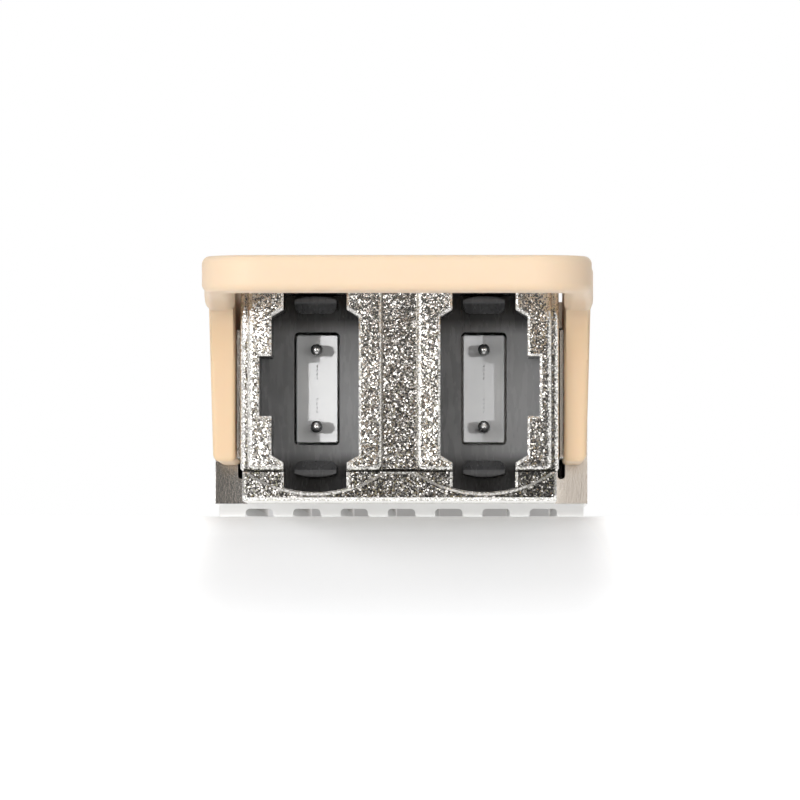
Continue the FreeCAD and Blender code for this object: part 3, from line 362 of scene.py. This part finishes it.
# Moulded black plastic, paler at the end of the port as painted light that fades to painted shade
# towards its top and bottom and is strongest on the right of each port, where the left lamps fall; the
# drag streaks in it are wear
def black_material():
    made, tree, surface = new_material("black_plastic")
    spot = split(tree, place(tree))
    drag = ramp(tree, noise(tree, 0.4 * MM, (1.0, 0.25, 0.2)), 0.4, 0.75, 0.0, 0.25)
    cloud = ramp(tree, noise(tree, 1.2 * MM), 0.35, 0.7, 0.0, 0.25)
    light_centre_z = PORT_Z - 0.25 * MM
    height = size_of(tree, minus(tree, spot["Z"], light_centre_z))
    painted_port_light = ramp(tree, spot["Y"], NOSE_Y + 5.0 * MM, NOSE_Y + 7.2 * MM, 0.0, 1.0)
    painted_port_light = times(tree, painted_port_light, ramp(tree, height, 3.5 * MM, 4.4 * MM, 1.0, 0.0))
    # Painted light, stronger towards the right of each port
    right = ramp(tree, across_port(tree, spot["X"]), -2.2 * MM, 2.2 * MM, 0.0, 1.0)
    fresh = blend_colour(tree, cloud, (0.05, 0.05, 0.052), (0.1, 0.1, 0.102))
    lit_and_rubbed = blend_colour(tree, right, (0.18, 0.182, 0.186), (0.41, 0.41, 0.414))
    lit_and_rubbed = blend_colour(tree, cloud, lit_and_rubbed, (0.3, 0.302, 0.306))
    lit_and_rubbed = blend_colour(tree, drag, lit_and_rubbed, (0.42, 0.42, 0.42))
    wire(tree, blend_colour(tree, painted_port_light, fresh, lit_and_rubbed), surface.inputs["Base Color"])
    wire(tree, ramp(tree, drag, 0.0, 1.0, 0.26, 0.42), surface.inputs["Roughness"])
    fine_surface(tree, surface, 0.1 * MM, 0.2, 0.06 * MM)
    return made


# One finish, mottled in patches six times as wide as the grain of its relief
def plain_material(name, dark, light, rough, grain, strength, metal=0.0, stretch=None):
    made, tree, surface = new_material(name)
    mottle = patches(tree, grain * 6)
    wire(tree, blend_colour(tree, mottle, dark, light), surface.inputs["Base Color"])
    surface.inputs["Metallic"].default_value = metal
    wire(tree, ramp(tree, mottle, 0.0, 1.0, rough * 0.85, rough * 1.15), surface.inputs["Roughness"])
    fine_surface(tree, surface, grain, strength, SMALL_EDGE, stretch)
    return made


# Solder mask over a web of tracks, with small tinned vias
def board_material():
    made, tree, surface = new_material("board_green")
    web_size = 0.9 * MM
    via_spacing = 1.3 * MM
    web = add(tree, "ShaderNodeTexVoronoi", feature="DISTANCE_TO_EDGE", distance="CHEBYCHEV")
    web.inputs["Scale"].default_value = 1.0 / web_size
    wire(tree, place(tree), web.inputs["Vector"])
    tracks = ramp(tree, web.outputs["Distance"], 0.05, 0.08, 1.0, 0.0)
    spots = add(tree, "ShaderNodeTexVoronoi", Scale=1.0 / via_spacing)
    wire(tree, place(tree), spots.inputs["Vector"])
    vias = ramp(tree, spots.outputs["Distance"], 0.13, 0.16, 1.0, 0.0)
    colour = blend_colour(tree, tracks, (0.008, 0.075, 0.03), (0.02, 0.17, 0.06))
    colour = blend_colour(tree, vias, colour, (0.55, 0.5, 0.4))
    wire(tree, colour, surface.inputs["Base Color"])
    wire(tree, vias, surface.inputs["Metallic"])
    surface.inputs["Roughness"].default_value = 0.35
    raised = bump(tree, tracks, 0.4, 0.02 * MM, soft_edges(tree, SMALL_EDGE))
    wire(tree, raised, surface.inputs["Normal"])
    return made


# Ceramic bodies with tinned ends, in rows that repeat along the board
def capacitor_material():
    made, tree, surface = new_material("capacitor_brown")
    half_length = 0.8 * MM
    spacing = 2.4 * MM
    first_row_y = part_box("capacitors")[0].y + half_length
    along = minus(tree, split(tree, place(tree))["Y"], first_row_y)
    from_middle = math_node(tree, "PINGPONG", along, spacing / 2)
    ends = ramp(tree, from_middle, 0.5 * MM, 0.53 * MM, 0.0, 1.0)
    body = blend_colour(tree, patches(tree, 0.3 * MM), (0.3, 0.19, 0.1), (0.4, 0.27, 0.16))
    wire(tree, blend_colour(tree, ends, body, (0.7, 0.69, 0.67)), surface.inputs["Base Color"])
    wire(tree, ends, surface.inputs["Metallic"])
    surface.inputs["Roughness"].default_value = 0.4
    wire(tree, soft_edges(tree, SMALL_EDGE), surface.inputs["Normal"])
    return made


# Clear amber moulding with a faint haze
def lens_material():
    made, tree, surface = new_material("lens_amber")
    surface.inputs["Base Color"].default_value = (0.9, 0.68, 0.3, 1.0)
    surface.inputs["Transmission Weight"].default_value = 0.75
    surface.inputs["IOR"].default_value = 1.62
    wire(tree, patches(tree, 0.8 * MM, 0.08, 0.16), surface.inputs["Roughness"])
    wire(tree, soft_edges(tree, SMALL_EDGE), surface.inputs["Normal"])
    return made


def dress(material, *names):
    for name in names:
        mesh = nodes[name].data
        mesh.materials.clear()
        mesh.materials.append(material)


def dress_pair(material, *names):
    for name in names:
        dress(material, "left_" + name, "right_" + name)


# Finishes that the front shows
dress(shell_material(), "belly_shell", "finned_shell")
dress(tab_material(), "pull_tab")
dress_pair(black_material(), "port_housing")

ferrule_grey = plain_material(
    "ferrule_grey", (0.86, 0.86, 0.86), (0.9, 0.9, 0.89),
    rough=0.045, grain=0.2 * MM, strength=0.01,
)
dress_pair(ferrule_grey, "ferrule")

pin_steel = plain_material(
    "pin_steel", (0.9, 0.9, 0.9), (0.96, 0.96, 0.96),
    rough=0.26, grain=0.1 * MM, strength=0.03, metal=1.0,
)
dress_pair(pin_steel, "guide_pins")

latch_steel = plain_material(
    "latch_steel", (0.7, 0.68, 0.65), (0.78, 0.76, 0.725),
    rough=0.24, grain=0.1 * MM, strength=0.25, metal=1.0, stretch=BRUSHED,
)
dress_pair(latch_steel, "latch_arm")

# Springs, screws, seals and holders
spring_steel = plain_material(
    "spring_steel", (0.36, 0.36, 0.37), (0.5, 0.5, 0.51),
    rough=0.26, grain=0.08 * MM, strength=0.1, metal=1.0,
)

screw_steel = plain_material(
    "screw_steel", (0.42, 0.42, 0.42), (0.56, 0.55, 0.54),
    rough=0.3, grain=0.12 * MM, strength=0.3, metal=1.0,
)
dress(screw_steel, "shell_screws")

rubber = plain_material(
    "gasket_rubber", (0.016, 0.016, 0.017), (0.03, 0.03, 0.031),
    rough=0.75, grain=0.1 * MM, strength=0.5,
)
dress_pair(rubber, "port_gasket")
dress(rubber, "seam_gaskets")

keeper = plain_material(
    "keeper_plastic", (0.09, 0.09, 0.095), (0.13, 0.13, 0.135),
    rough=0.45, grain=0.15 * MM, strength=0.3,
)
dress_pair(keeper, "pin_keeper")
dress(keeper, "ferrule_retainer")

# Optics
ribbon = plain_material(
    "ribbon_aqua", (0.12, 0.42, 0.47), (0.2, 0.55, 0.6),
    rough=0.35, grain=0.25 * MM, strength=0.3, stretch=BRUSHED,
)
dress_pair(ribbon, "fibre_ribbon")

engine = plain_material(
    "engine_grey", (0.2, 0.21, 0.25), (0.28, 0.29, 0.33),
    rough=0.4, grain=0.1 * MM, strength=0.3,
)
dress_pair(engine, "optical_engine")
dress_pair(lens_material(), "lens_block")

fibre_glass = plain_material(
    "fibre_glass", (0.8, 0.8, 0.81), (0.86, 0.86, 0.87),
    rough=0.06, grain=0.05 * MM, strength=0.02,
)

# Circuit board, its parts and the thermal pads
dress(board_material(), "circuit_board")
dress(capacitor_material(), "capacitors")

gold = plain_material(
    "contact_gold", (0.78, 0.52, 0.18), (0.88, 0.64, 0.28),
    rough=0.22, grain=0.08 * MM, strength=0.15, metal=1.0, stretch=BRUSHED,
)
dress(gold, "upper_edge_contacts", "lower_edge_contacts")

epoxy = plain_material(
    "chip_epoxy", (0.018, 0.018, 0.019), (0.034, 0.034, 0.035),
    rough=0.5, grain=0.06 * MM, strength=0.6,
)
dress(epoxy, "signal_processor", "driver_chips", "microcontroller", "regulators")

ferrite = plain_material(
    "ferrite", (0.12, 0.12, 0.13), (0.19, 0.19, 0.2),
    rough=0.55, grain=0.1 * MM, strength=0.6,
)
dress(ferrite, "inductors")

crystal_can = plain_material(
    "crystal_can", (0.62, 0.6, 0.55), (0.72, 0.7, 0.64),
    rough=0.28, grain=0.1 * MM, strength=0.2, metal=1.0,
)
dress(crystal_can, "crystal")

pad = plain_material(
    "thermal_pad", (0.29, 0.31, 0.37), (0.38, 0.4, 0.46),
    rough=0.8, grain=0.12 * MM, strength=0.8,
)
dress(pad, "processor_thermal_pad", "engine_thermal_pads")


# Shape helpers
def new_object(shape, name, material):
    mesh = bpy.data.meshes.new(name)
    shape.to_mesh(mesh)
    shape.free()
    mesh.materials.append(material)
    made = bpy.data.objects.new(name, mesh)
    scene.collection.objects.link(made)
    return made


# A closed tube through rings of points
def tube(shape, rings):
    sides = len(rings[0])
    for first, second in zip(rings, rings[1:]):
        for i in range(sides):
            j = (i + 1) % sides
            shape.faces.new((first[i], first[j], second[j], second[i]))
    shape.faces.new(rings[0][::-1])
    shape.faces.new(rings[-1])


# A strip of faces between two rows of points
def strip(shape, left, right):
    for i in range(len(left) - 1):
        shape.faces.new((left[i], right[i], right[i + 1], left[i + 1]))


# Return spring with a closed turn at each end
def return_spring(node, name):
    low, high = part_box(node)
    wire_r = 0.11 * MM
    turns = 13
    steps = 24
    sides = 10
    coil_r = (high.x - low.x) / 2 - wire_r
    axis_x = (high.x + low.x) / 2
    axis_z = (high.z + low.z) / 2
    closed = 2.1 * wire_r
    height = high.y - low.y - 2 * wire_r
    pitch = (height - 2 * closed) / (turns - 2)
    shape = bmesh.new()
    rings = []
    for step in range(turns * steps + 1):
        turn = step / steps
        rise = closed * min(turn, 1.0) + closed * max(turn - turns + 1, 0.0)
        rise += pitch * min(max(turn - 1, 0.0), turns - 2)
        ring = []
        for side in range(sides):
            around = math.tau * side / sides
            out = coil_r + wire_r * math.cos(around)
            x = axis_x + out * math.cos(math.tau * turn)
            y = low.y + wire_r + rise + wire_r * math.sin(around)
            z = axis_z + out * math.sin(math.tau * turn)
            ring.append(shape.verts.new((x, y, z)))
        rings.append(ring)
    tube(shape, rings)
    bmesh.ops.recalc_face_normals(shape, faces=shape.faces)
    piece = new_object(shape, name, spring_steel)
    for face in piece.data.polygons[:-2]:
        face.use_smooth = True
    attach(piece, "module")
    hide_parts(node)
    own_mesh(piece)


# Polished fibre ends: four at each end of a twelve-place row on the slanted ferrule face
def fibre_ends(side, name):
    sides = 20
    pitch = 0.25 * MM
    row_middle = 5.5
    out = Vector((side * math.sin(FERRULE_TILT), -math.cos(FERRULE_TILT), 0.0))
    across = Vector((math.cos(FERRULE_TILT), side * math.sin(FERRULE_TILT), 0.0))
    up = Vector((0.0, 0.0, 1.0))
    middle = Vector((side * PORT_X, FERRULE_FACE_Y, PORT_Z))
    # Radius and height over the face
    foot = (0.066 * MM, -0.02 * MM)
    rim = (0.064 * MM, 0.004 * MM)
    tip = (0.05 * MM, 0.009 * MM)
    shape = bmesh.new()
    for place_number in (0, 1, 2, 3, 8, 9, 10, 11):
        centre = middle + up * (place_number - row_middle) * pitch
        rings = []
        for radius, height in (foot, rim, tip):
            ring = []
            for i in range(sides):
                turn = math.tau * i / sides
                spot = centre + across * radius * math.cos(turn) + up * radius * math.sin(turn)
                ring.append(shape.verts.new(spot + out * height))
            rings.append(ring)
        tube(shape, rings)
    bmesh.ops.recalc_face_normals(shape, faces=shape.faces)
    piece = new_object(shape, name, fibre_glass)
    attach(piece, "module")


return_spring("left_return_spring", "left_return_coil")
return_spring("right_return_spring", "right_return_coil")
fibre_ends(-1, "left_fibre_ends")
fibre_ends(1, "right_fibre_ends")


# Lights, floor and camera
def put_facing(made, spot, target):
    made.location = spot
    made.rotation_euler = (Vector(target) - Vector(spot)).to_track_quat("-Z", "Y").to_euler()


# A soft lamp turned to the nose; one that isn't mirrored lights the metal and leaves no reflection in it
def softbox(name, spot, width, height, power, mirrored=True):
    nose_middle = (0.0, NOSE_Y, 6.0 * MM)
    lamp = bpy.data.lights.new(name, "AREA")
    lamp.shape = "RECTANGLE"
    lamp.size = width
    lamp.size_y = height
    lamp.energy = power
    made = bpy.data.objects.new(name, lamp)
    scene.collection.objects.link(made)
    put_facing(made, spot, nose_middle)
    made.visible_glossy = mirrored


softbox("left_box", (-0.178, -0.605, 0.03), width=0.105, height=0.125, power=0.46)
softbox("right_box", (0.172, -0.605, 0.03), width=0.09, height=0.11, power=0.17)
softbox("side_box", (-0.36, -0.56, 0.07), width=0.14, height=0.24, power=0.8)
softbox("top_box", (0.0, -0.05, 0.5), width=0.45, height=0.45, power=0.4, mirrored=False)
softbox("key_box", (-0.26, -0.6, 0.05), width=0.12, height=0.16, power=0.6, mirrored=False)
softbox("fill_box", (0.08, -0.75, 0.07), width=0.2, height=0.2, power=0.88, mirrored=False)


# Rays that reach a surface by way of a shiny or a clear one
def mirrored_rays(tree, path):
    return larger(tree, path.outputs["Is Glossy Ray"], path.outputs["Is Transmission Ray"])


# Rays that show the background meet plain white; scattered light gets a plain level
def studio_world():
    world = bpy.data.worlds.new("studio")
    scene.world = world
    world.use_nodes = True
    tree = world.node_tree
    back = tree.nodes["Background"]
    back.inputs["Color"].default_value = (1.0, 1.0, 1.0, 1.0)
    path = add(tree, "ShaderNodeLightPath")
    shown = larger(tree, path.outputs["Is Camera Ray"], mirrored_rays(tree, path))
    wire(tree, ramp(tree, shown, 0.0, 1.0, 0.43, 1.0), back.inputs["Strength"])


studio_world()


# A dark flag and a glowing card behind the camera, seen only in reflections; they neither light nor
# shade the object, so the dark that the flag gives the metal and the glow of the card on it are painted
# reflections; the camera never sees them
def mirrored_sheet(name, y, low, high, colour=(1.0, 1.0, 1.0), glow=0.0):
    shape = bmesh.new()
    corners = [(low[0], low[1]), (high[0], low[1]), (high[0], high[1]), (low[0], high[1])]
    shape.faces.new([shape.verts.new((x, y, z)) for x, z in corners])
    reflection_sheet, _, surface = new_material(name + "_reflection_sheet")
    surface.inputs["Base Color"].default_value = (0.09, 0.09, 0.09, 1.0)
    surface.inputs["Roughness"].default_value = 1.0
    surface.inputs["Emission Color"].default_value = (*colour, 1.0)
    surface.inputs["Emission Strength"].default_value = glow
    made = new_object(shape, name, reflection_sheet)
    made.visible_camera = False
    made.visible_diffuse = False
    made.visible_shadow = False


mirrored_sheet("flag", -1.0, (-0.36, -0.55), (1.1, 0.6))
# The card's glow is a painted reflection: it lights nothing
mirrored_sheet("card", -0.98, (-0.002, -0.12), (0.15, 0.14), colour=(0.88, 0.8, 0.72), glow=1.15)

# The table's rounded front edge
EDGE_Y = SHOULDER_Y + 0.1 * MM
EDGE_R = 1.5 * MM


# Painted shadow outline: one on the paper under and right beside the object, fading sideways, downwards
# and behind it; the glow is taken away there, so the real shadow shows inside a patch shaped to look
# like a soft shadow
def shadow_outline(tree, spot):
    row_half = 10.2 * MM
    aside = larger(tree, minus(tree, size_of(tree, spot["X"]), row_half), 0.0)
    width = ramp(tree, spot["Z"], -4.0 * MM, 0.0, 6.5 * MM, 2.4 * MM)
    aside = math_node(tree, "DIVIDE", aside, width)
    down = ramp(tree, spot["Z"], -10.0 * MM, -3.0 * MM, 1.0, 0.0)
    away = math_node(tree, "ADD", times(tree, aside, aside), times(tree, down, down))
    ahead = ramp(tree, spot["Y"], END_Y + 8.6 * MM, END_Y + 16.6 * MM, 1.0, 0.0)
    return times(tree, ramp(tree, away, 0.0, 1.0, 1.0, 0.0), ahead)


# White paper: its own light shows in the background and in reflections and is taken away near the
# object, where the real shadow shows inside a painted shadow outline; a weak glow under the module is
# painted light between the fins, and a stronger glow on the slope is painted light over the object's
# shadow there
def paper_material():
    made, tree, surface = new_material("white_paper")
    spot = split(tree, place(tree))
    surface.inputs["Base Color"].default_value = (0.865, 0.87, 0.88, 1.0)
    surface.inputs["Roughness"].default_value = 0.9
    surface.inputs["Emission Color"].default_value = (1.0, 1.0, 1.0, 1.0)
    # Painted light: a weak glow on the paper under the module, seen between the fins
    under = ramp(tree, spot["Y"], EDGE_Y - EDGE_R, EDGE_Y, 0.0, 0.2)
    under = times(tree, under, ramp(tree, spot["Y"], END_Y - 7.4 * MM, END_Y + 0.6 * MM, 1.0, 0.0))
    # Painted light: more glow on the slope than on the flat table
    far = ramp(tree, spot["Y"], EDGE_Y, EDGE_Y + 3.0 * MM, 0.6, 0.4)
    level = blend_value(tree, shadow_outline(tree, spot), far, under)
    path = add(tree, "ShaderNodeLightPath")
    glow = times(tree, level, path.outputs["Is Camera Ray"])
    glow = larger(tree, glow, ramp(tree, mirrored_rays(tree, path), 0.0, 1.0, 0.0, 0.5))
    wire(tree, glow, surface.inputs["Emission Strength"])
    return made


# The table from back to front, as depth and height: flat, round its edge, then steeply down
def table_profile():
    far_y = 2.5
    behind_y = 0.1
    bend = math.radians(72.0)
    steps = 8
    reach = 0.2
    profile = [(far_y, 0.0), (behind_y, 0.0), (EDGE_Y, 0.0)]
    for i in range(1, steps + 1):
        turn = bend * i / steps
        profile.append((EDGE_Y - EDGE_R * math.sin(turn), -EDGE_R * (1 - math.cos(turn))))
    y, z = profile[-1]
    profile.append((y - reach, z - reach * math.tan(bend)))
    return profile


# The table ends below the front of the fins; a low mound behind closes the view between them
def floor_sheet():
    half_width = 2.5
    fin_gap = 0.02 * MM
    mound_foot = (11.0 * MM, END_Y + 0.8 * MM, -0.1 * MM)
    mound_top = (10.3 * MM, END_Y + 0.85 * MM, 1.3 * MM)
    mound_back = (11.0 * MM, END_Y + 27.6 * MM, -0.1 * MM)
    shape = bmesh.new()
    table = []
    for side in (-1.0, 1.0):
        row = [shape.verts.new((side * half_width, y, z - fin_gap)) for y, z in table_profile()]
        table.append(row)
    strip(shape, *table)
    mound = []
    for side in (-1.0, 1.0):
        row = [shape.verts.new((side * x, y, z)) for x, y, z in (mound_foot, mound_top, mound_back)]
        mound.append(row)
    strip(shape, *mound)
    shape.faces.new(mound[0])
    shape.faces.new(mound[1][::-1])
    made = new_object(shape, "floor", paper_material())
    for face in made.data.polygons[:-4]:
        face.use_smooth = True


floor_sheet()


# At the plane of the nose, the frame is as wide as the photograph
def front_camera():
    away = 0.7
    sensor = 36.0
    photo_pixels = 800
    pixels_per_mm = 16.9
    spot = (4.5 * MM, NOSE_Y - away, -6.0 * MM)
    target = (0.03 * MM, NOSE_Y, 6.72 * MM)
    camera = bpy.data.objects.new("camera", bpy.data.cameras.new("camera"))
    scene.collection.objects.link(camera)
    scene.camera = camera
    put_facing(camera, spot, target)
    camera.data.sensor_width = sensor
    camera.data.lens = sensor * away / (photo_pixels / pixels_per_mm * MM)
    camera.data.clip_start = 0.05
    camera.data.clip_end = 10.0


front_camera()
